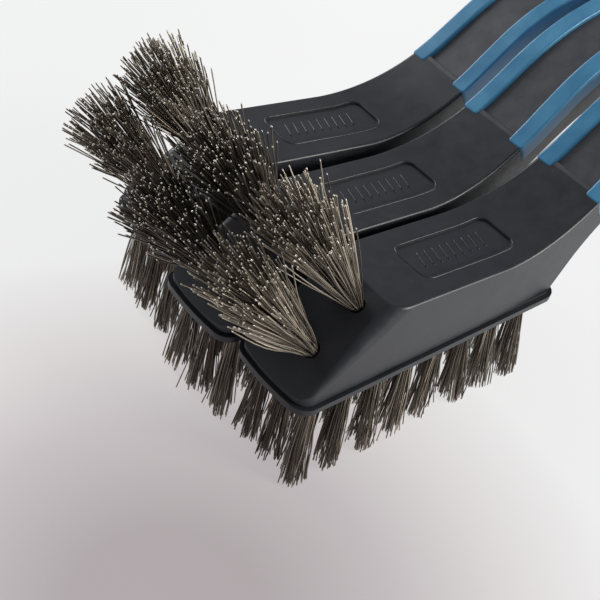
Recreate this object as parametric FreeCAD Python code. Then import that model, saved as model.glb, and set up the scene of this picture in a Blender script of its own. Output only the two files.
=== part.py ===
import FreeCAD, Part
import math
import os

# Three identical wire brushes for cleaning grill bars, standing side by side on their bristles.
# Each brush is a moulded plastic head and handle with two soft grip rails laid into the handle,
# a field of wire tufts under the head and a smaller fan of tufts on its sloping nose. Flat metal
# staples pin the tufts inside the head. One brush is drawn in its own frame: x runs from the nose
# to the end of the handle, y across, z up, with zero at the middle of the nose, on the underside
# of the head. Sizes are in millimetres and angles in degrees.

Vector = FreeCAD.Vector
lengthways = Vector(1, 0, 0)
sideways = Vector(0, 1, 0)
upright = Vector(0, 0, 1)
os.makedirs("parts", exist_ok=True)

# Head block
head_length = 98.0
head_width = 28.0
corner_radius = 5.0
nose_bow = 1.2             # how far the middle of the nose stands forward of its corners
lip_height = 1.8
lip_overhang = 1.0
groove_height = 0.5        # shadow groove between the lip and the wall
groove_depth = 0.4
nose_wall_top = 3.2
slope_run = 25.0           # length of the sloping nose, measured along x
slope_top = 24.5
saddle_low = 21.8          # height of the top where it starts to rise to the neck
neck_set_back = 32.0       # the neck starts to rise this far before the head's rear
saddle_run = head_length - neck_set_back - lip_overhang - slope_run
slope_edge_low = 4.0       # rounding of the nose's side edges, at their foot and at their top
slope_edge_high = 0.8
top_edge_radius = 0.8

# Neck and handle: tangent stretches of one line along the top
neck_angle = 42.0
neck_radius = 58.0
neck_straight = 11.0
shoulder_radius = 60.0
grip_start_angle = 17.0
grip_end_angle = 3.0
grip_length = 124.0
back_angle = 61.0          # slope of the head's rear face
back_rise = 8.0            # straight part of that face
neck_thickness = 13.0
grip_thickness = 18.0
end_thickness = 13.0
neck_width = 22.7
grip_width = 22.6
end_width = 19.2
end_taper = 0.05           # how fast each side closes in at the end, per mm of length
end_corner = 7.5
lower_edge_radius = 2.0

# Recesses
label_start = 16.5         # from the top of the nose, along the top
label_length = 34.5
label_width = 12.6
label_depth = 0.5
label_corner = 2.6
panel_lead = 1.0           # plastic left between the ends of the rails and of the panel
panel_depth = 1.1
panel_step = 2.2           # length of the slanting step at the panel's front
core_wall = 2.6
core_skin = 4.2
core_corner = 2.0
core_cells = 5
rib_thickness = 1.6

# Grip rails
rail_lead = 9.0            # the rails start this far before the rise of the neck ends
rail_width = 5.0
rail_skirt = 6.0
rail_depth = 1.3
rail_side_depth = 1.0
rail_proud = 0.3
rail_corner = 1.0
rail_edge = 0.6

# Hanging hole, in the solid end of the handle behind the rails and the core
end_block = 21.0
hang_hole_radius = 4.0
hang_hole_margin = 10.5    # from the end of the handle to the middle of the hole

# Tufts under the head; their tips are combed a little to the front and to one side
bristle_length = 26.0
backing_depth = 1.0        # slice of the head that the strands stand in
backing_margin = 2.2
bottom_rows = 3
bottom_first = 9.4
bottom_last = 10.0         # least distance from the last column to the head's rear
bottom_pitch_x = 11.1
bottom_columns = 1 + int((head_length - bottom_first - bottom_last) / bottom_pitch_x)
bottom_pitch_y = 8.8
bottom_splay = 1.06        # pitch of the tips over pitch of the feet
bottom_tip_radius = 3.1
bottom_ring = 4            # strands around the middle one of a tuft
sweep_x = -1.6
sweep_y = -3.2
tuft_radius = 1.5
strand_radius = 0.5
strand_sides = 3

# Tufts on the nose: two columns of two, which fan out and lean to one side
front_height = 31.0        # of the tips, square to the nose
front_middle = 19.5        # of the four tufts, up the slope from its foot
front_pitch_up = 15.5
front_pitch_y = 7.0
front_tip_pitch_up = 27.0
front_tip_pitch_y = 14.0
front_tip_radius = 6.4
front_sweep = 7.0
front_ring = 7
front_backing_up = 22.5
front_backing_width = 14.5
front_backing_corner = 1.5

# Staples
staple_length = 3.4
staple_thickness = 0.5
staple_height = 2.6
staple_depth = 3.6         # of the staple's outer edge below the skin

# Reach of the cutters past the skin, and how close counts as touching or as parallel
overreach = 3.0
near_enough = 0.03
nearly_parallel = 0.999

# Places of the brushes: name, how far the rear corner of each head stands behind that of the
# brush before it, how far it stands clear of it there, and its turn against it.
brushes = [
    ("near", 0.0, 0.0, 0.0),
    ("middle", -1.9, 0.3, -0.4),
    ("far", 4.5, 1.1, -2.7),
]


# ---------------------------------------------------------------- line along the top

def top_segments():
    """Stretches of the top line: length, and bend, which is positive where it curves upward."""
    drop = slope_top - saddle_low
    sag = math.atan2(drop, saddle_run)
    rise = math.radians(neck_angle)
    grip = math.radians(grip_start_angle)
    end = math.radians(grip_end_angle)
    return [
        (math.hypot(saddle_run, drop), 0.0),
        (neck_radius * (rise + sag), 1.0 / neck_radius),
        (neck_straight, 0.0),
        (shoulder_radius * (rise - grip), -1.0 / shoulder_radius),
        (grip_length, (end - grip) / grip_length),
    ]


segments = top_segments()
segment_ends = [sum(length for length, bend in segments[:i + 1]) for i in range(len(segments))]
saddle_end, neck_end, straight_end, shoulder_end, handle_end = segment_ends
rail_start = neck_end - rail_lead
rail_stop = handle_end - end_block
top_start = Vector(lip_overhang + slope_run, 0, slope_top)
start_heading = -math.atan2(slope_top - saddle_low, saddle_run)


def station(distance, offset=0.0):
    """Point at a distance along the top line, raised square to it by the offset."""
    point = top_start
    heading = start_heading
    left = distance
    for length, bend in segments:
        run = min(left, length)
        turned = heading + run * bend
        if bend:
            across_arc = math.sin(turned) - math.sin(heading)
            up_arc = math.cos(heading) - math.cos(turned)
            point = point + Vector(across_arc, 0, up_arc) / bend
        else:
            point = point + Vector(math.cos(heading), 0, math.sin(heading)) * run
        heading = turned
        left -= run
    return point + Vector(-math.sin(heading), 0, math.cos(heading)) * offset


def line(start, stop):
    return Part.LineSegment(start, stop).toShape()


def path_edges(start, stop, offset=0.0):
    """Edges of the top line between two distances: one line or arc for each stretch."""
    cuts = [start] + [end for end in segment_ends if start < end < stop] + [stop]
    edges = []
    for first, second in zip(cuts, cuts[1:]):
        middle = (first + second) / 2
        bend = [bend for (length, bend), end in zip(segments, segment_ends) if middle < end][0]
        ends = [station(first, offset), station(second, offset)]
        if bend:
            edges.append(Part.Arc(ends[0], station(middle, offset), ends[1]).toShape())
        else:
            edges.append(line(*ends))
    return edges


def face_of(edges):
    return Part.Face(Part.Wire(Part.__sortEdges__(edges)))


def across(edges):
    """Prism of a side outline, wider than the brush on both sides."""
    face = face_of(edges)
    face.translate(Vector(0, -head_width, 0))
    return face.extrude(Vector(0, 2 * head_width, 0))


def band(start, stop, low, high, slant=0.0):
    """Solid along the top line between two offsets; its front end may slant."""
    front = line(station(start + slant, low), station(start, high))
    rear = line(station(stop, low), station(stop, high))
    lower = path_edges(start + slant, stop, low)
    return across(lower + path_edges(start, stop, high) + [front, rear])


# ---------------------------------------------------------------- outlines from above

handle_stop = station(handle_end).x
ceiling = station(handle_end).z + grip_thickness
wall_foot = lip_height + groove_height


def upright_edges(solid):
    """Straight edges that stand along z."""
    found = []
    for edge in solid.Edges:
        box = edge.BoundBox
        if box.ZLength > near_enough and max(box.XLength, box.YLength) < near_enough / 100:
            found.append(edge)
    return found


def head_prism(inset, low, high):
    """Block on the head's plan outline, drawn in from the lip's edge by the inset."""
    half = head_width / 2 - inset
    corner = nose_bow + inset
    rear = head_length - inset
    left_nose = Vector(corner, half, low)
    right_nose = Vector(corner, -half, low)
    left_rear = Vector(rear, half, low)
    right_rear = Vector(rear, -half, low)
    outline = [
        Part.Arc(right_nose, Vector(inset, 0, low), left_nose).toShape(),
        line(left_nose, left_rear),
        line(left_rear, right_rear),
        line(right_rear, right_nose),
    ]
    prism = face_of(outline).extrude(upright * (high - low))
    return prism.makeFillet(corner_radius - inset, upright_edges(prism))


def handle_prism(grow=0.0):
    """Block on the plan outline of wall, neck and handle, grown sideways."""
    wall = Vector(station(saddle_end).x, head_width / 2 - lip_overhang + grow, 0)
    neck = Vector(station(neck_end).x, neck_width / 2 + grow, 0)
    grip = Vector((neck.x + handle_stop) / 2, grip_width / 2 + grow, 0)
    end = Vector(handle_stop, end_width / 2 + grow, 0)
    front = Vector(lip_overhang, wall.y, 0)
    curve = Part.BSplineCurve()
    taper = Vector(1, -end_taper, 0)
    curve.interpolate(Points=[wall, neck, grip, end], InitialTangent=lengthways, FinalTangent=taper)
    side = [line(front, wall), curve.toShape()]
    other = [edge.mirror(Vector(0, 0, 0), Vector(0, 1, 0)) for edge in side]
    ends = [line(front, Vector(front.x, -front.y, 0)), line(end, Vector(end.x, -end.y, 0))]
    return face_of(side + other + ends).extrude(upright * ceiling)


def block(start, stop, half, low, high):
    return Part.makeBox(stop - start, 2 * half, high - low, Vector(start, -half, low))


def rounded_block(start, stop, half, low, high, radius):
    sharp = block(start, stop, half, low, high)
    return sharp.makeFillet(radius, upright_edges(sharp))


# ---------------------------------------------------------------- moulded body

def underside():
    """Curve under the neck and handle, from the head's rear face to the handle's end."""
    lean = math.radians(back_angle)
    up_back = Vector(math.cos(lean), 0, math.sin(lean))
    foot = Vector(head_length - lip_overhang, 0, wall_foot)
    shoulder = (straight_end + shoulder_end) / 2
    points = [
        foot + up_back * back_rise,
        station(neck_end, -neck_thickness),
        station(shoulder, -(neck_thickness + grip_thickness) / 2),
        station((shoulder_end + handle_end) / 2, -grip_thickness),
        station(handle_end, -end_thickness),
    ]
    curve = Part.BSplineCurve()
    leave = up_back * grip_thickness
    arrive = lengthways * grip_thickness
    curve.interpolate(Points=points, InitialTangent=leave, FinalTangent=arrive)
    return foot, points, curve.toShape()


def raw_body():
    """Side outline and plan outline of head wall, neck and handle, crossed with each other."""
    foot, points, under = underside()
    nose_foot = Vector(lip_overhang, 0, wall_foot)
    nose_top = Vector(lip_overhang, 0, nose_wall_top)
    outline = path_edges(0.0, handle_end) + [
        under,
        line(station(handle_end), points[-1]),
        line(points[0], foot),
        line(foot, nose_foot),
        line(nose_foot, nose_top),
        line(nose_top, top_start),
    ]
    return across(outline).common(handle_prism()).Solids[0]


def edges_near(solid, guide, reach=near_enough):
    """Side edges whose middle, seen from the side, lies on the guide."""
    wire = Part.Wire(Part.__sortEdges__(guide))
    found = []
    for edge in solid.Edges:
        middle = edge.valueAt((edge.FirstParameter + edge.LastParameter) / 2)
        flat = Part.Vertex(middle.x, 0, middle.z)
        at_side = edge.BoundBox.XLength > 1 and abs(middle.y) > 1
        if at_side and wire.distToShape(flat)[0] < reach:
            found.append(edge)
    return found


def round_nose_edges(solid):
    """Round the nose's two side edges with a radius that shrinks towards the top."""
    guide = [line(Vector(lip_overhang, 0, nose_wall_top), top_start)]
    for side in (1, -1):
        edge = [e for e in edges_near(solid, guide) if e.CenterOfMass.y * side > 0][0]
        falls = edge.valueAt(edge.FirstParameter).z > edge.valueAt(edge.LastParameter).z
        radii = (slope_edge_low, slope_edge_high) if falls else (slope_edge_high, slope_edge_low)
        solid = solid.makeFillet(*radii, [edge])
    return solid


def on_crest(edge):
    """Whether an edge is the one across the top of the nose."""
    middle = edge.CenterOfMass.sub(top_start)
    return edge.BoundBox.XLength < near_enough and abs(middle.z) + abs(middle.x) < near_enough


def corner_trims():
    """What the plan rounding takes off at the nose and at the end of the handle."""
    nose = block(-overreach, slope_run, head_width, 0.0, ceiling)
    nose = nose.cut(head_prism(lip_overhang, -overreach, ceiling + overreach))
    keep = block(0.0, handle_stop, end_width / 2, -overreach, ceiling + overreach)
    rear = [edge for edge in upright_edges(keep) if edge.BoundBox.XMin > handle_stop / 2]
    end = block(handle_stop - end_corner, handle_stop + overreach, head_width, 0.0, ceiling)
    return [nose, end.cut(keep.makeFillet(end_corner, rear))]


def shaped_body():
    """Head wall, neck and handle with all their rounded edges."""
    solid = round_nose_edges(raw_body())
    foot, points, under = underside()
    crest = [edge for edge in solid.Edges if on_crest(edge)]
    upper = edges_near(solid, path_edges(0.0, handle_end)) + crest
    solid = solid.makeFillet(top_edge_radius, upper)
    lower = edges_near(solid, [line(foot, points[0]), under])
    solid = solid.makeFillet(lower_edge_radius, lower)
    solid = solid.cut(corner_trims())
    lip = head_prism(0.0, 0.0, lip_height)
    neck = head_prism(lip_overhang + groove_depth, 0.0, wall_foot + groove_height)
    return solid.fuse([lip, neck]).removeSplitter().Solids[0]


def label_recess():
    """Shallow rounded field on the head's top, left bare."""
    start = station(label_start).x
    stop = start + label_length
    field = rounded_block(start, stop, label_width / 2, 0.0, ceiling, label_corner)
    reach = label_start + label_length + overreach
    return field.common(band(label_start - overreach, reach, -label_depth, overreach))


def panel_recess():
    """Sunk field between the rails, with a slanting step at its front."""
    front = rail_start + panel_lead
    field = band(front, rail_stop - panel_lead, -panel_depth, overreach, panel_step)
    return field.common(handle_prism(-rail_width))


def core_pockets():
    """Cored underside of the handle: pockets with ribs left between them."""
    start = station(straight_end).x
    stop = station(rail_stop).x
    pitch = (stop - start + rib_thickness) / core_cells
    room = band(straight_end - overreach, rail_stop + overreach, -3 * grip_thickness, -core_skin)
    room = room.common(handle_prism(-core_wall))
    pockets = []
    for index in range(core_cells):
        first = start + index * pitch
        cell = room.common(block(first, first + pitch - rib_thickness, head_width, 0.0, ceiling))
        pockets.append(cell.Solids[0].makeFillet(core_corner, upright_edges(cell)))
    return pockets


def hanging_hole():
    middle = handle_stop - hang_hole_margin
    return Part.makeCylinder(hang_hole_radius, ceiling, Vector(middle, 0, 0))


# ---------------------------------------------------------------- grip rails

def rail_shell(depth, inward, proud):
    """Both rails' stretch of handle skin: so deep from the top, so far in from the side."""
    strip = band(rail_start, rail_stop, -depth, proud)
    return strip.common(handle_prism(proud).cut(handle_prism(-inward)))


def rail_strips(proud):
    """Left and right strip along the handle's top edges, each with a skirt down its side."""
    top = rail_shell(rail_depth, rail_width, proud)
    both = top.fuse(rail_shell(rail_skirt, rail_side_depth, proud)).removeSplitter()
    pair = sorted(both.Solids, key=lambda solid: -solid.CenterOfMass.y)
    return [strip.makeFillet(rail_corner, front_corners(strip)) for strip in pair]


def front_corners(strip):
    """Edges at a strip's front end that stand square to the top line and reach its top."""
    start = station(rail_start)
    upward = station(rail_start, 1.0).sub(start)
    forward = sideways.cross(upward)
    found = []
    for edge in strip.Edges:
        ends = [vertex.Point.sub(start) for vertex in edge.Vertexes]
        if len(ends) < 2 or max(abs(end.dot(forward)) for end in ends) > near_enough:
            continue
        stands = abs(ends[1].sub(ends[0]).normalize().dot(upward)) > nearly_parallel
        if stands and max(end.dot(upward) for end in ends) > 0:
            found.append(edge)
    return found


def rails():
    """Left and right rail, with the long edges along their tops rounded."""
    guide = path_edges(rail_start, rail_stop, rail_proud)
    return [rail.makeFillet(rail_edge, edges_near(rail, guide)) for rail in rail_strips(rail_proud)]


# ---------------------------------------------------------------- tufts

def spokes(ring, radius):
    """The middle of a ring, and the places evenly round it."""
    places = [(0.0, 0.0)]
    for index in range(ring):
        angle = 2 * math.pi * index / ring
        places.append((radius * math.cos(angle), radius * math.sin(angle)))
    return places


def strand(foot, tip, one, two):
    """Flat-ended strand from foot to tip, with its section in the plane of two directions."""
    corners = [foot + one * u + two * v for u, v in spokes(strand_sides, strand_radius)[1:]]
    return Part.Face(Part.makePolygon(corners + corners[:1])).extrude(tip - foot)


def bottom_feet():
    """Middles of the tufts under the head, with the middles of their tips."""
    centre = bottom_first + bottom_pitch_x * (bottom_columns - 1) / 2
    tufts = []
    for column in range(bottom_columns):
        for row in range(bottom_rows):
            x = bottom_first + bottom_pitch_x * column
            y = bottom_pitch_y * (row - (bottom_rows - 1) / 2)
            tip_x = centre + (x - centre) * bottom_splay + sweep_x
            tip = Vector(tip_x, y * bottom_splay + sweep_y, -bristle_length)
            tufts.append((Vector(x, y, 0), tip))
    return tufts


def bottom_backing():
    start = backing_margin + nose_bow
    stop = head_length - backing_margin
    half = head_width / 2 - backing_margin
    return rounded_block(start, stop, half, 0.0, backing_depth, corner_radius - backing_margin)


def bottom_bristles():
    """Slice of the head's underside with all its strands."""
    strands = []
    for foot, tip in bottom_feet():
        inner = Vector(0, 0, backing_depth / 2)
        for near, far in zip(spokes(bottom_ring, tuft_radius), spokes(bottom_ring, bottom_tip_radius)):
            start = foot + inner + Vector(*near, 0)
            strands.append(strand(start, tip + Vector(*far, 0), lengthways, sideways))
    return bottom_backing().fuse(strands)


slope_angle = math.atan2(slope_top - nose_wall_top, slope_run)
slope_foot = Vector(lip_overhang, 0, nose_wall_top)
up_slope = Vector(math.cos(slope_angle), 0, math.sin(slope_angle))
out_of_slope = Vector(-math.sin(slope_angle), 0, math.cos(slope_angle))


def on_slope(up, side, out=0.0):
    return slope_foot + up_slope * up + sideways * side + out_of_slope * out


def front_feet():
    """Middles of the tufts on the nose, with the middles of their tips."""
    tufts = []
    for up in (-0.5, 0.5):
        for side in (-0.5, 0.5):
            foot = on_slope(front_middle + front_pitch_up * up, front_pitch_y * side)
            tip = on_slope(front_middle + front_tip_pitch_up * up,
                           front_tip_pitch_y * side + front_sweep, front_height)
            tufts.append((foot, tip))
    return tufts


def front_backing():
    """Slice of the nose that the fan of strands stands in."""
    size = front_backing_up, front_backing_width
    plate = Part.makeBox(*size, backing_depth, Vector(-size[0] / 2, -size[1] / 2, -backing_depth))
    plate = plate.makeFillet(front_backing_corner, upright_edges(plate))
    turn = FreeCAD.Rotation(sideways, -math.degrees(slope_angle))
    plate.Placement = FreeCAD.Placement(on_slope(front_middle, 0.0), turn)
    return plate


def front_bristles():
    strands = []
    for foot, tip in front_feet():
        inner = out_of_slope * (-backing_depth / 2)
        for near, far in zip(spokes(front_ring, tuft_radius), spokes(front_ring, front_tip_radius)):
            start = foot + inner + up_slope * near[0] + sideways * near[1]
            stop = tip + up_slope * far[0] + sideways * far[1]
            strands.append(strand(start, stop, up_slope, sideways))
    return front_backing().fuse(strands)


# ---------------------------------------------------------------- staples

def staple(foot, inward):
    """Flat metal plate driven across a tuft's fold, inside the head."""
    plate = Part.makeBox(staple_length, staple_thickness, staple_height,
                         Vector(-staple_length / 2, -staple_thickness / 2, 0))
    turn = FreeCAD.Rotation(upright, inward)
    plate.Placement = FreeCAD.Placement(foot + inward * staple_depth, turn)
    return plate


def bottom_staples():
    return Part.makeCompound([staple(foot, upright) for foot, tip in bottom_feet()])


def front_staples():
    return Part.makeCompound([staple(foot, out_of_slope * -1) for foot, tip in front_feet()])


# ---------------------------------------------------------------- one brush

def brush_pieces():
    """All pieces of one brush in its own frame, by name."""
    left_rail, right_rail = rails()
    pieces = {
        "left_rail": left_rail,
        "right_rail": right_rail,
        "bottom_bristles": bottom_bristles(),
        "front_bristles": front_bristles(),
        "bottom_staples": bottom_staples(),
        "front_staples": front_staples(),
    }
    hollows = [label_recess(), panel_recess(), hanging_hole(), bottom_backing(), front_backing()]
    hollows += rail_strips(overreach) + core_pockets()
    hollows += [pieces["bottom_staples"], pieces["front_staples"]]
    body = shaped_body()
    for hollow in hollows:
        body = body.cut(hollow).Solids[0]
    pieces["body"] = body
    return pieces


def brush_places():
    """Placement of each brush, hung on the head's rear corner on the side of the one before it."""
    places = []
    current = FreeCAD.Placement()
    touch = head_length - corner_radius
    for name, behind, clear, turn in brushes:
        if places:
            hinge = Vector(touch + behind, head_width / 2 + clear, 0)
            own = Vector(touch, -head_width / 2, 0)
            swing = FreeCAD.Placement(hinge, FreeCAD.Rotation(upright, turn))
            back = FreeCAD.Placement(own * -1, FreeCAD.Rotation())
            current = current.multiply(swing).multiply(back)
        places.append((name, current))
    return places


def build():
    """Place every piece with the origin under the middle of the set, at the bristles' tips."""
    placed = {}
    for name, shape in brush_pieces().items():
        for brush, place in brush_places():
            piece = shape.copy()
            piece.Placement = place.multiply(piece.Placement)
            placed[brush + "_" + name] = piece
    box = Part.makeCompound(list(placed.values())).optimalBoundingBox()
    origin = Vector(-box.Center.x, -box.Center.y, -box.ZMin)
    for name, piece in placed.items():
        piece.translate(origin)
        piece.exportStep("parts/" + name + ".step")
    return placed


if __name__ == "__main__":
    nodes = build()
    for name in sorted(nodes):
        shape = nodes[name]
        print(name, len(shape.Solids), "solids", round(shape.Volume, 1), "mm3", shape.isValid())
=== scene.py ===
# %% [markdown]
# # Grill brushes: dressing a construction model
# Three identical wire brushes stand on their bristles. The construction model already holds the
# moulded bodies, the grip rails and the staples at their real size. This lesson adds what a
# construction model can't show well: thousands of thin wires, the drilled faces that they come out
# of, the small marks of the mould, and the finish of every surface.

# %% Load the frame
import math

import bmesh
import bpy
import numpy as np
from mathutils import Matrix, Vector
from mathutils.bvhtree import BVHTree


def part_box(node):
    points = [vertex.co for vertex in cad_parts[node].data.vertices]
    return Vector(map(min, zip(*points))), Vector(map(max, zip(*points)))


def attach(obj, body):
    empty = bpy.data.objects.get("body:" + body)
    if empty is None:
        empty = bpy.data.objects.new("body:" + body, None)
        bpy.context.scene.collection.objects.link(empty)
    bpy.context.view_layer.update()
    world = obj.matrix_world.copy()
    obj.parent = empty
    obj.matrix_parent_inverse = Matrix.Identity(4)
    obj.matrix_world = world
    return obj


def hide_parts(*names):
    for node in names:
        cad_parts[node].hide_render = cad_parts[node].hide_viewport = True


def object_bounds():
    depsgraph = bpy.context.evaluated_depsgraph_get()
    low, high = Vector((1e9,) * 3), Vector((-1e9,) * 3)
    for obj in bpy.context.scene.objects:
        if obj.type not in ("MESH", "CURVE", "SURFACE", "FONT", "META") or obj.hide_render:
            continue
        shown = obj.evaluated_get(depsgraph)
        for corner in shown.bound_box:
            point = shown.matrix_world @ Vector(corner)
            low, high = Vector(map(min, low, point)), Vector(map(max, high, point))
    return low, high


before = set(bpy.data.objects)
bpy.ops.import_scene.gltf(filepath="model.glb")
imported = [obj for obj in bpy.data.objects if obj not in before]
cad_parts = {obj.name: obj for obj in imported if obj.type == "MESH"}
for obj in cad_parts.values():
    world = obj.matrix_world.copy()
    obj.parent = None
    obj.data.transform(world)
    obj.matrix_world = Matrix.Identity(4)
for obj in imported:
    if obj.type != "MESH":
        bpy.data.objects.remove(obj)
cad_box = [list(corner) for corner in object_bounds()]
mm = 0.001
brushes = ("near", "middle", "far")
print("nodes:", len(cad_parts), "box:", [[round(v, 4) for v in corner] for corner in cad_box])

# %% [markdown]
# ## Where each brush stands
# The brushes stand beside each other at slightly different angles. Each tuft is held by a staple,
# so the field of staples gives the place and the turn of its brush: its middle is the middle of
# the tuft field, and its longest direction is the direction of the head. From there on every
# piece is made once, in the brush's own millimetres: x from the nose, y across, z up from the
# underside of the head.

# %% Own frame of a brush
tuft_columns = 8
tuft_first = 9.4
tuft_pitch_x = 11.1
field_middle = tuft_first + tuft_pitch_x * (tuft_columns - 1) / 2


def node_points(node):
    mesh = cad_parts[node].data
    points = np.empty(len(mesh.vertices) * 3)
    mesh.vertices.foreach_get("co", points)
    return points.reshape(-1, 3)


def brush_place(brush):
    """Origin in metres, and the brush's own axes as rows."""
    staples = np.array(sorted({tuple(p) for p in node_points(brush + "_bottom_staples").round(6)}))
    middle = staples.mean(axis=0)
    spread = staples[:, :2] - middle[:2]
    directions = np.linalg.eigh(spread.T @ spread)[1]
    along = directions[:, 1] * np.sign(directions[0, 1])
    axes = np.array([[along[0], along[1], 0], [-along[1], along[0], 0], [0, 0, 1]])
    origin = np.array([middle[0], middle[1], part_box(brush + "_body")[0][2]])
    return {"origin": origin - axes[0] * field_middle * mm, "axes": axes}


def to_row(place, points):
    """Points in a brush's own millimetres, as metres in the shared frame."""
    return np.asarray(points) @ place["axes"] * mm + place["origin"]


places = {brush: brush_place(brush) for brush in brushes}
for brush in brushes:
    along = places[brush]["axes"][0]
    print(brush, "turned by", round(math.degrees(math.atan2(along[1], along[0])), 2), "degrees")

# %% [markdown]
# ## Colours and nodes
# Colours are written as sRGB hex, as a paint chart gives them, and one function turns them into the
# linear values that the renderer works in. One more function adds a shader node, sets it and links
# it. A ramp takes its colours as (place, hex) stops.

# %% Helpers for materials
def linear(code):
    values = [int(code[i:i + 2], 16) / 255 for i in (1, 3, 5)]
    return [v / 12.92 if v <= 0.04045 else ((v + 0.055) / 1.055) ** 2.4 for v in values] + [1.0]


def feed(material, node, inputs):
    """Fills a node's inputs, each with a plain value or with another node's output."""
    for key, value in inputs.items():
        if isinstance(value, bpy.types.NodeSocket):
            material.node_tree.links.new(value, node.inputs[key])
        else:
            node.inputs[key].default_value = value


def add_node(material, kind, inputs=None, stops=(), **settings):
    """One node with its settings, its inputs and, on a ramp, its colour stops."""
    node = material.node_tree.nodes.new(kind)
    for key, value in settings.items():
        setattr(node, key, value)
    feed(material, node, inputs or {})
    for _ in stops[2:]:
        node.color_ramp.elements.new(0.5)
    for number, (place, colour) in enumerate(stops):
        node.color_ramp.elements[number].position = place
        node.color_ramp.elements[number].color = linear(colour)
    return node


def new_material(name):
    """Material, its Principled shader, and the place on the object that its patterns follow."""
    material = bpy.data.materials.new(name)
    material.use_nodes = True
    here = add_node(material, "ShaderNodeTexCoord").outputs["Object"]
    return material, material.node_tree.nodes["Principled BSDF"], here


print("black plastic, linear:", [round(v, 4) for v in linear("#1d1f24")])

# %% [markdown]
# ## Where the coarse panel lies
# Between the grip rails the mould is rougher and the plastic looks greyer. The panel and the smooth
# skin belong to one moulding, so one material shows both, and a mask tells them apart: it is 1
# between the panel's ends and sides, on surfaces that face up. Painting the faces one by one would
# do as well, but the mask needs no change to the mesh.

# %% Mask of the panel
panel_start, panel_stop, panel_half = 102.9, 235.0, 6.4
panel_edge = 0.3
facing_up = (0.25, 0.35)


def between(material, value, low, high):
    """1 between two limits in millimetres, with a short soft step at each."""
    rise = add_node(material, "ShaderNodeMapRange", {
        "Value": value, "From Min": (low - panel_edge) * mm, "From Max": low * mm})
    fall = add_node(material, "ShaderNodeMapRange", {
        "Value": value, "From Min": (high + panel_edge) * mm, "From Max": high * mm})
    both = add_node(material, "ShaderNodeMath", {
        0: rise.outputs[0], 1: fall.outputs[0]}, operation="MULTIPLY")
    return both.outputs[0]


def panel_share(material, here, place):
    """1 on the coarse panel between the grip rails, 0 elsewhere."""
    offset = add_node(material, "ShaderNodeVectorMath", {0: here, 1: place["origin"]}, operation="SUBTRACT")
    along, aside = [
        add_node(material, "ShaderNodeVectorMath", {0: offset.outputs[0], 1: axis}, operation="DOT_PRODUCT")
        for axis in place["axes"][:2]]
    length = between(material, along.outputs["Value"], panel_start, panel_stop)
    width = between(material, aside.outputs["Value"], -panel_half, panel_half)
    surface = add_node(material, "ShaderNodeNewGeometry")
    facing = add_node(material, "ShaderNodeSeparateXYZ", {0: surface.outputs["True Normal"]})
    upward = add_node(material, "ShaderNodeMapRange", {
        "Value": facing.outputs["Z"], "From Min": facing_up[0], "From Max": facing_up[1]})
    area = add_node(material, "ShaderNodeMath", {0: length, 1: width}, operation="MULTIPLY")
    share = add_node(material, "ShaderNodeMath", {
        0: area.outputs[0], 1: upward.outputs[0]}, operation="MULTIPLY")
    return share.outputs[0]


print("panel from", panel_start, "to", panel_stop, "mm,", 2 * panel_half, "mm wide")

# %% [markdown]
# ## Moulded polypropylene
# Head and handle are one injection moulding in black polypropylene. Its skin copies a spark-eroded
# steel mould: a fine even grain that breaks a reflection into a soft satin sheen. The grain is about
# 0.1 mm in reality, and is drawn at 0.3 mm so that it shows. Over it lies a slow unevenness, where
# the thick parts of the moulding sink a little, faint cloudy rubbed patches, and pale dust.

# %% Black polypropylene
grain_size, grain_depth = 0.3, 0.03
sink_size, sink_depth = 14.0, 0.35
rub_size = 5.0
rub_range = (0.3, 0.7)               # where the rubbed patches begin and are complete
dust_size = 1.6
speck_edge = (0.03, 0.05)            # of the distance between two specks of dust
dusty_from = (0.56, 0.6)             # of the same clouds as the rubbed patches
polypropylene_ior = 1.49


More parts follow.
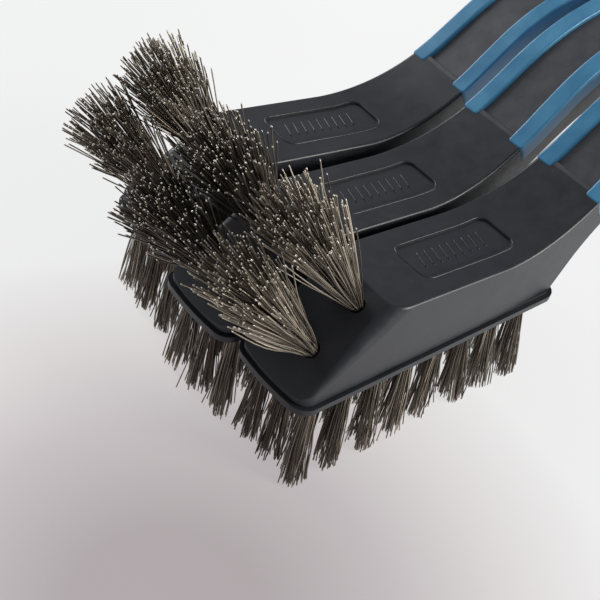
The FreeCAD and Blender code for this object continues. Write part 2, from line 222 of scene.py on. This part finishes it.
def moulded_polypropylene(brush):
    material, shader, here = new_material(brush + "_moulded_polypropylene")
    panel = panel_share(material, here, places[brush])
    grain = add_node(material, "ShaderNodeTexNoise", {
        "Vector": here, "Scale": 1 / (grain_size * mm), "Detail": 3.0})
    sink = add_node(material, "ShaderNodeTexNoise", {
        "Vector": here, "Scale": 1 / (sink_size * mm), "Detail": 1.0})
    rub = add_node(material, "ShaderNodeTexNoise", {
        "Vector": here, "Scale": 1 / (rub_size * mm), "Detail": 6.0, "Roughness": 0.62}).outputs["Fac"]
    dust = add_node(material, "ShaderNodeTexVoronoi", {"Vector": here, "Scale": 1 / (dust_size * mm)})
    smooth = add_node(material, "ShaderNodeValToRGB", {"Fac": rub}, [(0.3, "#1d1f24"), (0.72, "#292b31")])
    coarse = add_node(material, "ShaderNodeValToRGB", {"Fac": rub}, [(0.3, "#434347"), (0.72, "#525257")])
    plain = add_node(material, "ShaderNodeMix", {
        "Factor": panel, "A": smooth.outputs["Color"], "B": coarse.outputs["Color"]}, data_type="RGBA")
    speck = add_node(material, "ShaderNodeMapRange", {
        "Value": dust.outputs["Distance"], "From Min": speck_edge[0], "From Max": speck_edge[1],
        "To Min": 1.0, "To Max": 0.0})
    rare = add_node(material, "ShaderNodeMapRange", {
        "Value": rub, "From Min": dusty_from[0], "From Max": dusty_from[1]})
    dusty = add_node(material, "ShaderNodeMath", {
        0: speck.outputs[0], 1: rare.outputs[0]}, operation="MULTIPLY")
    colour = add_node(material, "ShaderNodeMix", {
        "Factor": dusty.outputs[0], "A": plain.outputs["Result"], "B": linear("#8d8a86")}, data_type="RGBA")
    rough = add_node(material, "ShaderNodeMapRange", {
        "Value": rub, "From Min": rub_range[0], "From Max": rub_range[1], "To Min": 0.36, "To Max": 0.47})
    fine = add_node(material, "ShaderNodeBump", {
        "Height": grain.outputs["Fac"], "Strength": 0.22, "Distance": grain_depth * mm})
    slow = add_node(material, "ShaderNodeBump", {
        "Height": sink.outputs["Fac"], "Strength": 0.5, "Distance": sink_depth * mm,
        "Normal": fine.outputs[0]})
    feed(material, shader, {"Base Color": colour.outputs["Result"], "Roughness": rough.outputs[0],
                            "Normal": slow.outputs[0], "IOR": polypropylene_ior})
    return material


polypropylene = {brush: moulded_polypropylene(brush) for brush in brushes}
print("made", [material.name for material in polypropylene.values()])

# %% [markdown]
# ## Soft grip rubber
# The blue rails are a thermoplastic elastomer, moulded into the handle in a second shot. It is
# softer and duller than the plastic: light enters a little, so its edges look pale, and it holds
# more dust. A fine leathery grain of about 0.5 mm gives it grip, under faint clouds of handling.

# %% Blue elastomer
leather_size, leather_depth = 0.5, 0.05
cloud_size = 9.0
cloud_range = (0.3, 0.7)
elastomer_ior = 1.5


def grip_elastomer():
    material, shader, here = new_material("grip_elastomer")
    leather = add_node(material, "ShaderNodeTexNoise", {
        "Vector": here, "Scale": 1 / (leather_size * mm), "Detail": 4.0})
    cloud = add_node(material, "ShaderNodeTexNoise", {
        "Vector": here, "Scale": 1 / (cloud_size * mm), "Detail": 4.0}).outputs["Fac"]
    colour = add_node(material, "ShaderNodeValToRGB", {"Fac": cloud},
                     [(cloud_range[0], "#357fa8"), (cloud_range[1], "#4895be")])
    rough = add_node(material, "ShaderNodeMapRange", {
        "Value": cloud, "From Min": cloud_range[0], "From Max": cloud_range[1],
        "To Min": 0.3, "To Max": 0.42})
    bump = add_node(material, "ShaderNodeBump", {
        "Height": leather.outputs["Fac"], "Strength": 0.25, "Distance": leather_depth * mm})
    feed(material, shader, {"Base Color": colour.outputs["Color"], "Roughness": rough.outputs[0],
                            "Normal": bump.outputs[0], "IOR": elastomer_ior, "Sheen Weight": 0.15})
    return material


elastomer = grip_elastomer()
print("made", elastomer.name)

# %% [markdown]
# ## Drawn steel wire
# The bristles are hardened steel wire, drawn through a die and cut square. Drawing leaves a smooth
# dark oxide skin, a little different from wire to wire, while the cut ends are bare bright steel.
# Two values stored on the mesh drive this: the tone of each wire, and where it is cut. Each field
# of wires gets its own spread of tones, which also paints light and shade on it. The oxide
# skin isn't wholly metallic, so the wires keep some colour of their own where nothing is reflected.

# %% Bristle wire
draw_mark = 1.2


def drawn_steel_wire():
    material, shader, here = new_material("drawn_steel_wire")
    tone = add_node(material, "ShaderNodeAttribute", attribute_name="wire_tone")
    cut = add_node(material, "ShaderNodeAttribute", attribute_name="wire_cut")
    # random oxide tone of each wire, and through each field's spread of tones also painted light and shade
    skin = add_node(material, "ShaderNodeValToRGB", {"Fac": tone.outputs["Fac"]},
                    [(0.0, "#443d38"), (0.5, "#7f766b"), (1.0, "#d6cbb9")])
    colour = add_node(material, "ShaderNodeMix", {
        "Factor": cut.outputs["Fac"], "A": skin.outputs["Color"], "B": linear("#d3cdc0")}, data_type="RGBA")
    streak = add_node(material, "ShaderNodeTexNoise", {
        "Vector": here, "Scale": 1 / (draw_mark * mm), "Detail": 2.0})
    rough = add_node(material, "ShaderNodeMapRange", {
        "Value": streak.outputs["Fac"], "To Min": 0.24, "To Max": 0.5})
    feed(material, shader, {
        "Base Color": colour.outputs["Result"], "Roughness": rough.outputs[0], "Metallic": 0.7})
    return material


wire_steel = drawn_steel_wire()
print("made", wire_steel.name)

# %% [markdown]
# ## Staple steel
# The staples are cut from flat galvanised wire. Zinc gives them a light, slightly cloudy metal
# grey, with streaks of about 0.4 mm from rolling.

# %% Staples, and the finishes of the frame's own nodes
roll_mark = 0.4


def staple_steel():
    material, shader, here = new_material("staple_steel")
    streak = add_node(material, "ShaderNodeTexNoise", {
        "Vector": here, "Scale": 1 / (roll_mark * mm), "Detail": 3.0})
    colour = add_node(material, "ShaderNodeValToRGB", {"Fac": streak.outputs["Fac"]},
                      [(0.3, "#8f8d8a"), (0.7, "#b9b7b3")])
    feed(material, shader, {"Base Color": colour.outputs["Color"], "Metallic": 1.0, "Roughness": 0.35})
    return material


flat_steel = staple_steel()
for brush in brushes:
    finishes = {"body": polypropylene[brush], "left_rail": elastomer, "right_rail": elastomer,
                "bottom_staples": flat_steel, "front_staples": flat_steel}
    for piece, material in finishes.items():
        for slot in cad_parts[brush + "_" + piece].material_slots:
            slot.material = material
    print("finished", len(finishes), "nodes of", brush)

# %% [markdown]
# ## A bundle of wires as one mesh
# Each wire is a thin tube along a slightly curved path. Its cut end is a small dome that catches the
# light, and on some wires the cutter has squeezed it a little wider. Curve objects could make tubes
# too, but thousands of them are slow, so all the tubes of a field are laid out as one array of rings
# and become one mesh.

# %% Tubes along paths
dome = 0.6                                        # height and width of a dome over the wire's radius
bead = 2.0                                        # length of a squeezed end over the same radius
any_direction = np.array([0.31, 0.87, 0.38])      # only has to differ from the wires' own directions


def ring_axes(paths):
    """Direction of each path at each of its points, and two directions square to it."""
    ahead = np.gradient(paths, axis=1)
    ahead /= np.linalg.norm(ahead, axis=2, keepdims=True)
    side = np.cross(ahead, any_direction)
    side /= np.linalg.norm(side, axis=2, keepdims=True)
    return ahead, side, np.cross(ahead, side)


def tube_rings(paths, burrs, spec):
    """Points of round tubes as (wire, ring, point, xyz), with a dome on each cut end."""
    ahead, side, other = ring_axes(paths)
    end, onward = paths[:, -1:], ahead[:, -1:] * spec["radius"]
    centres = np.concatenate([paths[:, :-1], end - onward * bead, end, end + onward * dome], axis=1)
    side = np.concatenate([side] + [side[:, -1:]] * 2, axis=1)
    other = np.concatenate([other] + [other[:, -1:]] * 2, axis=1)
    radii = np.full(centres.shape[:2], spec["radius"])
    radii[:, -2] *= burrs
    radii[:, -1] *= burrs * dome
    angles = np.arange(spec["sides"]) * 2 * math.pi / spec["sides"]
    around = side[:, :, None] * np.cos(angles)[:, None] + other[:, :, None] * np.sin(angles)[:, None]
    return centres[:, :, None] + around * radii[:, :, None, None]


def new_piece(name, data, material):
    """Object of a finished mesh, with its material."""
    data.materials.append(material)
    piece = bpy.data.objects.new(name, data)
    bpy.context.scene.collection.objects.link(piece)
    return piece


def wire_object(name, place, paths, tones, burrs, spec):
    """Mesh object of round wires along paths of (wire, point, xyz), in the brush's millimetres."""
    points = tube_rings(paths, burrs, spec)
    count, rings, sides = points.shape[:3]
    index = np.arange(count * rings * sides).reshape(count, rings, sides)
    turned = np.roll(index, -1, axis=2)
    quads = np.stack([index[:, :-1], turned[:, :-1], turned[:, 1:], index[:, 1:]], axis=-1).reshape(-1, 4)
    faces = quads.tolist() + index[:, 0, ::-1].tolist() + index[:, -1].tolist()
    mesh = bpy.data.meshes.new(name)
    mesh.from_pydata(to_row(place, points.reshape(-1, 3)).tolist(), [], faces)
    mesh.shade_smooth()
    is_cut = np.zeros((count, rings, sides))
    is_cut[:, -2:] = 1
    for key, values in (("wire_tone", np.repeat(tones, rings * sides)), ("wire_cut", is_cut.ravel())):
        mesh.attributes.new(key, "FLOAT", "POINT").data.foreach_set("value", values.astype(np.float32))
    return new_piece(name, mesh, wire_steel)


print("domes of", dome, "wire radii on the cut ends")

# %% [markdown]
# ## How a tuft spreads
# A tuft is a bundle of wires folded over its staple and driven into its hole. The wires leave the
# hole packed together and spread as they rise. Some cling together in clumps, each has its own
# slight bow, their ends are not quite level, and a few have been bent aside in use. A hair system
# would do this too, but plain seeded random numbers give the same wires every time.

# %% Habits of the wires
clump_reach = 0.9            # of the tuft's radius at its tips
jitter = 0.13                # of the same radius
stray_reach = (1.2, 1.8)     # how much further out a bent wire ends
length_range = (0.8, 1.05)
burr_growth = (1.4, 2.0)
kink_share = 0.35            # of the bow
kink_waves = 2.5
leave_swell = 4.0            # how far a wire first follows its hole, for each mm of "straight"


def disc(random, count, radius):
    """Even random places on a disc."""
    angle = random.uniform(0, 2 * math.pi, count)
    reach = radius * np.sqrt(random.uniform(0, 1, count))
    return np.stack([reach * np.cos(angle), reach * np.sin(angle)], axis=1)


def burrs_of(random, count, spec):
    """How much wider each cut end is than its wire: most are flush, some are squeezed by the cutter."""
    burred = random.uniform(0, 1, count) < spec["burred"]
    return np.where(burred, random.uniform(*burr_growth, count), 1.0)


def tip_places(random, start, spec):
    """Where the wires that start on a disc end on the wider disc of the tips."""
    spread = start / spec["foot_radius"] * spec["tip_radius"]
    clumps = disc(random, spec["clumps"], spec["tip_radius"] * clump_reach)
    nearest = np.argmin(((spread[:, None] - clumps[None]) ** 2).sum(axis=2), axis=1)
    spread += (clumps[nearest] - spread) * spec["cling"]
    spread += random.normal(0, spec["tip_radius"] * jitter, spread.shape)
    stray = random.uniform(0, 1, len(spread)) < spec["strays"]
    spread[stray] *= random.uniform(*stray_reach, (stray.sum(), 1))
    return spread


print("a bent wire ends up to", stray_reach[1], "times as far out")


# %% Paths of the wires of a tuft
def tuft_paths(random, foot, tip, axes, spec):
    """Paths of a tuft's wires; axes are the two directions of its disc and the way out."""
    count = spec["wires"]
    start = disc(random, count, spec["foot_radius"])
    feet = foot + start @ axes[:2]
    reach = tip + tip_places(random, start, spec) @ axes[:2] - feet
    uneven = (1 + random.normal(0, spec["uneven"], (count, 1))).clip(*length_range)
    length = np.linalg.norm(tip - foot) * uneven
    reach *= 1 + (length / np.linalg.norm(reach, axis=1, keepdims=True) - 1) * spec["rounded"]
    bow = random.normal(0, spec["bow"], (count, 2)) @ axes[:2]
    kink = random.normal(0, spec["bow"] * kink_share, (count, 2)) @ axes[:2]
    leave = axes[2] * spec["straight"]
    paths = []
    for t in np.linspace(0, 1, spec["points"]):
        out = leave * (t * (1 - t) ** 2) * leave_swell
        bent = bow * math.sin(math.pi * t) + kink * math.sin(kink_waves * math.pi * t)
        paths.append(feet + reach * t + out + bent)
    return np.stack(paths, axis=1)


box_clearance = 0.4


def inside_box(place, paths):
    """Draws wires that pass the box of the whole object back into it, keeping their feet."""
    low = np.array(cad_box[0]) + box_clearance * mm
    high = np.array(cad_box[1]) - box_clearance * mm
    kept = to_row(place, paths).clip(low, high)
    return ((kept - place["origin"]) / mm) @ place["axes"].T


print("wires kept inside", [[round(v, 3) for v in corner] for corner in cad_box])

# %% [markdown]
# ## Bristles under the head
# Twenty-four tufts stand in eight columns and three rows. They spread a little as they go down, and
# lean towards the nose and to one side, as on a brush that is always drawn the same way.

# %% Wires of one brush
def brush_wires(name, brush, seed, tufts, axes, tone_shape, spec):
    """Wires of a brush's tufts as one piece; the seed makes them the same every time."""
    random = np.random.default_rng(seed)
    paths = np.concatenate([tuft_paths(random, foot, tip, axes, spec) for foot, tip in tufts])
    tones = random.beta(*tone_shape, len(paths))
    burrs = burrs_of(random, len(paths), spec)
    print(name, len(paths), "wires")
    return wire_object(name, places[brush], inside_box(places[brush], paths), tones, burrs, spec)


# %% Bottom wires
tuft_rows = 3
tuft_pitch_y = 8.8
foot_depth = 0.9                     # how deep in its hole a tuft starts
bristle_length = 26.0
splay = 1.06
sweep = np.array([-1.6, -3.2])
bottom_seed = 20
bottom_tones_in_painted_shade = (1.4, 2.9)            # shape of the spread of tones: mostly dark, as painted shade under the head
bottom_spec = {"wires": 72, "radius": 0.17, "sides": 5, "points": 6, "foot_radius": 1.6,
               "tip_radius": 4.4, "clumps": 4, "cling": 0.35, "strays": 0.03, "uneven": 0.03,
               "rounded": 0.15, "bow": 0.45, "straight": 1.6, "burred": 0.1}
down = np.array([[1.0, 0, 0], [0, 1.0, 0], [0, 0, -1.0]])


def bottom_tufts():
    """Feet and tips of the tufts under the head."""
    tufts = []
    for column in range(tuft_columns):
        for row in range(tuft_rows):
            x = tuft_first + tuft_pitch_x * column
            y = tuft_pitch_y * (row - (tuft_rows - 1) / 2)
            tip_x = field_middle + (x - field_middle) * splay + sweep[0]
            tip = np.array([tip_x, y * splay + sweep[1], -bristle_length])
            tufts.append((np.array([x, y, foot_depth]), tip))
    return tufts


for seed, brush in enumerate(brushes, bottom_seed):
    piece = brush_wires(brush + "_bottom_wires", brush, seed, bottom_tufts(), down, bottom_tones_in_painted_shade, bottom_spec)
    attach(piece, "root")
    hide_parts(brush + "_bottom_bristles")

# %% [markdown]
# ## Fan on the nose
# Four longer tufts stand on the sloping nose. They spread widely and lean to one side, and their
# ends face the light, so each wire is drawn with more sides and more points than those below. The
# wires of the three brushes get different tones as painted light and shade: the near fan lighter
# where light falls on it, the far fan lighter as painted haze, the middle fan darker.

# %% Slope of the nose
lip_overhang = 1.0
nose_wall_top = 3.2
slope_run = 25.0
slope_top = 24.5
slope = math.atan2(slope_top - nose_wall_top, slope_run)
up_slope = np.array([math.cos(slope), 0, math.sin(slope)])
out_of_slope = np.array([-math.sin(slope), 0, math.cos(slope)])
sideways = np.array([0, 1.0, 0])
slope_axes = np.array([up_slope, sideways, out_of_slope])


def on_slope(up, side, out=0.0):
    """Place given by its ways up the slope, to the side and out of the slope."""
    foot = np.array([lip_overhang, 0, nose_wall_top])
    return foot + up_slope * up + sideways * side + out_of_slope * out


print("slope of", round(math.degrees(slope), 1), "degrees")

# %% Front wires
front_middle = 19.5
front_pitch = np.array([15.5, 7.0])
front_tip_pitch = np.array([19.6, 11.0])
front_height = 29.5
front_sweep = np.array([1.9, 8.0])
front_seed = 40
# tones of each brush's front wires: painted light on the near fan, painted haze on the far fan, painted shade
# on the middle fan
front_painted_light_tones = {"near": (2.4, 1.5), "middle": (1.2, 2.6), "far": (2.0, 1.8)}
front_spec = {"wires": 165, "radius": 0.18, "sides": 6, "points": 8, "foot_radius": 1.7,
              "tip_radius": 10.8, "clumps": 12, "cling": 0.25, "strays": 0.03, "uneven": 0.06,
              "rounded": 0.85, "bow": 0.45, "straight": 1.0, "burred": 0.12}
halves = (-0.5, 0.5)


def front_tufts():
    """Feet and tips of the tufts on the nose."""
    tufts = []
    for up in halves:
        for side in halves:
            foot = on_slope(front_middle + front_pitch[0] * up, front_pitch[1] * side, -foot_depth)
            tip = on_slope(front_middle + front_tip_pitch[0] * up + front_sweep[0],
                           front_tip_pitch[1] * side + front_sweep[1], front_height)
            tufts.append((foot, tip))
    return tufts


for seed, brush in enumerate(brushes, front_seed):
    piece = brush_wires(brush + "_front_wires", brush, seed, front_tufts(), slope_axes,
                        front_painted_light_tones[brush], front_spec)
    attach(piece, "root")
    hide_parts(brush + "_front_bristles")

# %% [markdown]
# ## Drilled faces
# The tufts come out of holes with a small countersink. A boolean could drill them, but an outline
# with round holes in it is easily filled with triangles, and its walls are then drawn down ring by
# ring, which leaves a clean closed plate.

# %% Plate with countersunk holes
hole_radius = 2.0
countersink = 0.35
backing_depth = 1.0
circle_points = 24
corner_steps = 6


def circle(middle, radius):
    turns = [2 * math.pi * i / circle_points for i in range(circle_points)]
    return [(middle[0] + radius * math.cos(a), middle[1] + radius * math.sin(a)) for a in turns]


def rounded_outline(low, high, radius):
    """Corner arcs of a rounded rectangle, anticlockwise."""
    points = []
    quarter = math.pi / 2
    corners = [(high[0], high[1]), (low[0], high[1]), (low[0], low[1]), (high[0], low[1])]
    signs = [(-1, -1), (1, -1), (1, 1), (-1, 1)]
    for number, (corner, sign) in enumerate(zip(corners, signs)):
        centre = (corner[0] + sign[0] * radius, corner[1] + sign[1] * radius)
        for step in range(corner_steps + 1):
            angle = quarter * (number + step / corner_steps)
            points.append((centre[0] + radius * math.cos(angle), centre[1] + radius * math.sin(angle)))
    return points


def add_walls(mesh, loops, lift):
    """Rings of points at (loop, height), joined by walls; gives the edges of first and last."""
    rings = [[mesh.verts.new(lift(x, y, height)) for x, y in loop] for loop, height in loops]
    for upper, lower in zip(rings, rings[1:]):
        for i in range(len(upper)):
            j = (i + 1) % len(upper)
            mesh.faces.new([upper[i], upper[j], lower[j], lower[i]])
    ends = []
    for ring in (rings[0], rings[-1]):
        ends.append([mesh.edges.get((ring[i], ring[(i + 1) % len(ring)])) for i in range(len(ring))])
    return ends


def closed_mesh(name, mesh):
    """Mesh data of an edit mesh, with its faces turned outwards."""
    bmesh.ops.recalc_face_normals(mesh, faces=mesh.faces)
    data = bpy.data.meshes.new(name)
    mesh.to_mesh(data)
    mesh.free()
    return data


def drilled_plate(name, brush, outline, holes, lift):
    """Closed plate: outline with countersunk through holes, set in the brush by lift."""
    mesh = bmesh.new()
    faces = [[], []]
    parts = [add_walls(mesh, [(outline, 0.0), (outline, -backing_depth)], lift)]
    for hole in holes:
        rim = circle(hole, hole_radius + countersink)
        wall = circle(hole, hole_radius)
        parts.append(add_walls(mesh, [(rim, 0.0), (wall, -countersink), (wall, -backing_depth)], lift))
    for first, last in parts:
        faces[0] += first
        faces[1] += last
    for edges in faces:
        bmesh.ops.triangle_fill(mesh, use_beauty=True, edges=edges)
    data = closed_mesh(name, mesh)
    for vertex in data.vertices:
        vertex.co = Vector(to_row(places[brush], np.array(vertex.co)))
    return new_piece(name, data, polypropylene[brush])


print("holes of", 2 * hole_radius, "mm with", circle_points, "points round each")

# %% Plates under the head and on the nose
backing_margin = 2.2
nose_bow = 1.2
head_length = 98.0
head_width = 28.0
corner_radius = 5.0
front_backing = np.array([22.5, 14.5])
front_backing_corner = 1.5


def under_head(x, y, height):
    return Vector((x, y, -height))


def on_nose(up, side, height):
    return Vector(on_slope(up, side, height))


half = head_width / 2 - backing_margin
under_outline = rounded_outline((backing_margin + nose_bow, -half), (head_length - backing_margin, half),
                                corner_radius - backing_margin)
nose_outline = rounded_outline((front_middle - front_backing[0] / 2, -front_backing[1] / 2),
                               (front_middle + front_backing[0] / 2, front_backing[1] / 2),
                               front_backing_corner)
under_holes = [(foot[0], foot[1]) for foot, tip in bottom_tufts()]
nose_holes = [(front_middle + front_pitch[0] * up, front_pitch[1] * side) for up in halves for side in halves]
plates = {"bottom": (under_outline, under_holes, under_head), "front": (nose_outline, nose_holes, on_nose)}
for brush in brushes:
    for side, (outline, holes, lift) in plates.items():
        piece = drilled_plate(brush + "_" + side + "_plate", brush, outline, holes, lift)
        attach(piece, "root")
        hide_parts(brush + "_" + side + "_bristles")
        print(piece.name, len(piece.data.polygons), "faces")

# %% [markdown]
# ## Moulded ridges of the label field
# The field on top of each head has a fine raised rim, and a row of plain slanted ribs where a
# maker could put a mark. They follow the top as it starts to curve up to the neck, so each point
# of their lines is dropped straight down onto the body until it meets the plastic.

# %% Round ridges on a surface
ridge_radius = 0.34
ridge_sink = 0.12
ridge_sides = 8
ridge_step = 1.2                     # the most between two points of a ridge's line
drop_height = 98.0                   # well above the top of a head


def spaced(points, closed):
    """Points along straight runs, no further apart than a step."""
    ends = points[1:] + points[:1] if closed else points[1:]
    line = []
    for (x, y), (next_x, next_y) in zip(points, ends):
        count = max(1, math.ceil(math.hypot(next_x - x, next_y - y) / ridge_step))
        line += [(x + (next_x - x) * i / count, y + (next_y - y) * i / count) for i in range(count)]
    return line if closed else line + [points[-1]]


def dropped(tree, brush, line):
    """The line in metres, laid on the body and sunk into it a little."""
    above = to_row(places[brush], [(x, y, drop_height) for x, y in line])
    laid = [tree.ray_cast(Vector(point), Vector((0, 0, -1)))[0] for point in above]
    return np.array(laid) - np.array([0, 0, ridge_sink * mm])


def add_ridge(mesh, path, closed):
    """Round ridge along a path, closed on itself or capped at its ends."""
    if closed:
        ahead = np.roll(path, -1, axis=0) - np.roll(path, 1, axis=0)
    else:
        ahead = np.gradient(path, axis=0)
    ahead /= np.linalg.norm(ahead, axis=1, keepdims=True)
    side = np.cross(ahead, [0, 0, 1.0])
    side /= np.linalg.norm(side, axis=1, keepdims=True)
    over = np.cross(side, ahead)
    turns = [2 * math.pi * i / ridge_sides for i in range(ridge_sides)]
    rings = []
    for point, aside, up in zip(path, side, over):
        rings.append([mesh.verts.new(point + (aside * math.cos(a) + up * math.sin(a)) * ridge_radius * mm)
                      for a in turns])
    pairs = list(zip(rings, rings[1:])) + ([(rings[-1], rings[0])] if closed else [])
    for ring, onward in pairs:
        for i in range(ridge_sides):
            j = (i + 1) % ridge_sides
            mesh.faces.new([ring[i], ring[j], onward[j], onward[i]])
    if not closed:
        mesh.faces.new(rings[0][::-1])
        mesh.faces.new(rings[-1])


print("ridges", round(ridge_radius - ridge_sink, 2), "mm proud of the plastic")

# %% Rim and ribs of each head
field_low, field_high = (41.9, -6.9), (77.5, 6.9)
field_corner = 3.2
rib_count = 9
rib_first, rib_pitch, rib_half, rib_slant = 47.0, 2.9, 2.9, 1.6

for brush in brushes:
    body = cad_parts[brush + "_body"].data
    tree = BVHTree.FromPolygons([v.co for v in body.vertices], [list(f.vertices) for f in body.polygons])
    mesh = bmesh.new()
    rim = spaced(rounded_outline(field_low, field_high, field_corner), True)
    add_ridge(mesh, dropped(tree, brush, rim), True)
    for number in range(rib_count):
        x = rib_first + rib_pitch * number
        rib = spaced([(x - rib_slant / 2, -rib_half), (x + rib_slant / 2, rib_half)], False)
        add_ridge(mesh, dropped(tree, brush, rib), False)
    data = closed_mesh(brush + "_field_ridges", mesh)
    data.shade_smooth()
    piece = new_piece(brush + "_field_ridges", data, polypropylene[brush])
    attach(piece, "root")
    print(piece.name, len(data.polygons), "faces")

# %% [markdown]
# ## Floor and light
# A pale paper floor lies under the brushes. Part of its brightness is its own, which keeps it even,
# so its soft shade round the noses and under the handles is drawn in its colour. The light is a
# large soft window behind the brushes on one side, and a second soft light on the other, so the
# black plastic shows its shape by soft reflections.

# %% Floor
floor_reach = 25.0
fibre_size, fibre_depth = 0.8, 0.05
shade_middle = (-0.165, -0.062, 0.0)         # near the noses
shade_reach = 0.15
under_middle = (0.03, 0.024, 0.0)            # under the handles, where little light comes in
under_squeeze = (1 / 0.09, 1 / 0.034, 0.0)   # over the half length and half width of that shade
own_share = 0.75


def open_air(material, here):
    """0 in the middle of the shade under the handles, 1 outside it."""
    offset = add_node(material, "ShaderNodeVectorMath", {0: here, 1: under_middle}, operation="SUBTRACT")
    squeezed = add_node(material, "ShaderNodeVectorMath", {
        0: offset.outputs[0], 1: under_squeeze}, operation="MULTIPLY")
    reach = add_node(material, "ShaderNodeVectorMath", {0: squeezed.outputs[0]}, operation="LENGTH")
    return add_node(material, "ShaderNodeMapRange", {"Value": reach.outputs["Value"]},
                    interpolation_type="SMOOTHSTEP").outputs[0]


def seen_rays(material):
    """Share of the paper's own brightness in what is seen of it, also in and through other things."""
    ray = add_node(material, "ShaderNodeLightPath")
    seen = add_node(material, "ShaderNodeMath", {
        0: ray.outputs["Is Camera Ray"], 1: ray.outputs["Is Glossy Ray"]}, operation="MAXIMUM")
    clear = add_node(material, "ShaderNodeMath", {
        0: seen.outputs[0], 1: ray.outputs["Is Transmission Ray"]}, operation="MAXIMUM")
    return add_node(material, "ShaderNodeMath", {
        0: clear.outputs[0], 1: own_share}, operation="MULTIPLY").outputs[0]


def paper_floor():
    material, shader, here = new_material("pale_paper")
    fibre = add_node(material, "ShaderNodeTexNoise", {
        "Vector": here, "Scale": 1 / (fibre_size * mm), "Detail": 4.0})
    away = add_node(material, "ShaderNodeVectorMath", {0: here, 1: shade_middle}, operation="DISTANCE")
    far = add_node(material, "ShaderNodeMapRange", {
        "Value": away.outputs["Value"], "From Max": shade_reach})
    paper = add_node(material, "ShaderNodeValToRGB", {"Fac": far.outputs[0]},
                     [(0.15, "#b5adaf"), (0.36, "#cbc5c7"), (0.55, "#e6e1e1"), (0.8, "#f9f9f9")])
    colour = add_node(material, "ShaderNodeMix", {
        "Factor": open_air(material, here), "A": linear("#979394"), "B": paper.outputs["Color"]},
        data_type="RGBA").outputs["Result"]
    bump = add_node(material, "ShaderNodeBump", {
        "Height": fibre.outputs["Fac"], "Strength": 0.1, "Distance": fibre_depth * mm})
    feed(material, shader, {"Base Color": colour, "Normal": bump.outputs[0], "Roughness": 0.8})
    glow = add_node(material, "ShaderNodeEmission", {"Color": colour})
    both = add_node(material, "ShaderNodeMixShader", {
        0: seen_rays(material), 1: shader.outputs[0], 2: glow.outputs[0]})
    feed(material, material.node_tree.nodes["Material Output"], {"Surface": both.outputs[0]})
    return material


floor_mesh = bpy.data.meshes.new("floor")
floor_corners = [(-floor_reach, -floor_reach, 0), (floor_reach, -floor_reach, 0),
                 (floor_reach, floor_reach, 0), (-floor_reach, floor_reach, 0)]
floor_mesh.from_pydata(floor_corners, [], [(0, 1, 2, 3)])
floor = new_piece("floor", floor_mesh, paper_floor())
print("floor", 2 * floor_reach, "m wide")

# %% Lights and world
sky_fill, sky_seen = 0.4, 0.93       # strength as light, and where the camera sees the sky itself
set_middle = Vector([(low + high) / 2 for low, high in zip(*cad_box)])


def soft_light(name, place, width, power, colour):
    """Round soft light in metres and watts, turned to the middle of the brushes."""
    lamp = bpy.data.lights.new(name, "AREA")
    lamp.shape = "DISK"
    lamp.size = width
    lamp.energy = power
    lamp.color = linear(colour)[:3]
    holder = bpy.data.objects.new(name, lamp)
    bpy.context.scene.collection.objects.link(holder)
    holder.location = place
    holder.visible_camera = False
    holder.rotation_euler = (set_middle - Vector(place)).to_track_quat("-Z", "Y").to_euler()


soft_light("window", place=(-0.1, 2.15, 1.13), width=1.6, power=35.0, colour="#fbfcff")
soft_light("side", place=(1.15, -1.85, 0.66), width=1.0, power=54.0, colour="#fffdf8")
world = bpy.data.worlds.new("studio")
bpy.context.scene.world = world
world.use_nodes = True
sky_ray = add_node(world, "ShaderNodeLightPath")
sky = add_node(world, "ShaderNodeMapRange", {
    "Value": sky_ray.outputs["Is Camera Ray"], "To Min": sky_fill, "To Max": sky_seen})
feed(world, world.node_tree.nodes["Background"], {"Color": linear("#eef0f4"), "Strength": sky.outputs[0]})
print("two soft lights and an even sky")

# %% [markdown]
# ## Camera
# The camera stands close in front of the noses and looks down along the brushes. Its place is given
# from the lowest front corner of the near head, which is the corner nearest to it.

# %% Camera
corner_to_camera = Vector((-144.5, -114.2, 198.0))
corner_to_aim = Vector((28.1, 33.6, 0.0))
camera_roll = 15.4
camera_lens = 67.7
near_clip = 0.01

corner = Vector(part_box("near_body")[0])
camera_place = corner + corner_to_camera * mm
camera_aim = corner + corner_to_aim * mm
camera = bpy.data.cameras.new("camera")
camera.lens = camera_lens
camera.clip_start = near_clip
viewer = bpy.data.objects.new("camera", camera)
bpy.context.scene.collection.objects.link(viewer)
looking = (camera_aim - camera_place).to_track_quat("-Z", "Y").to_matrix().to_4x4()
rolled = Matrix.Rotation(math.radians(camera_roll), 4, "Z")
viewer.matrix_world = Matrix.Translation(camera_place) @ looking @ rolled
bpy.context.scene.camera = viewer
bpy.context.scene.view_settings.view_transform = "Standard"
print("camera", round((camera_aim - camera_place).length, 3), "m from its aim")
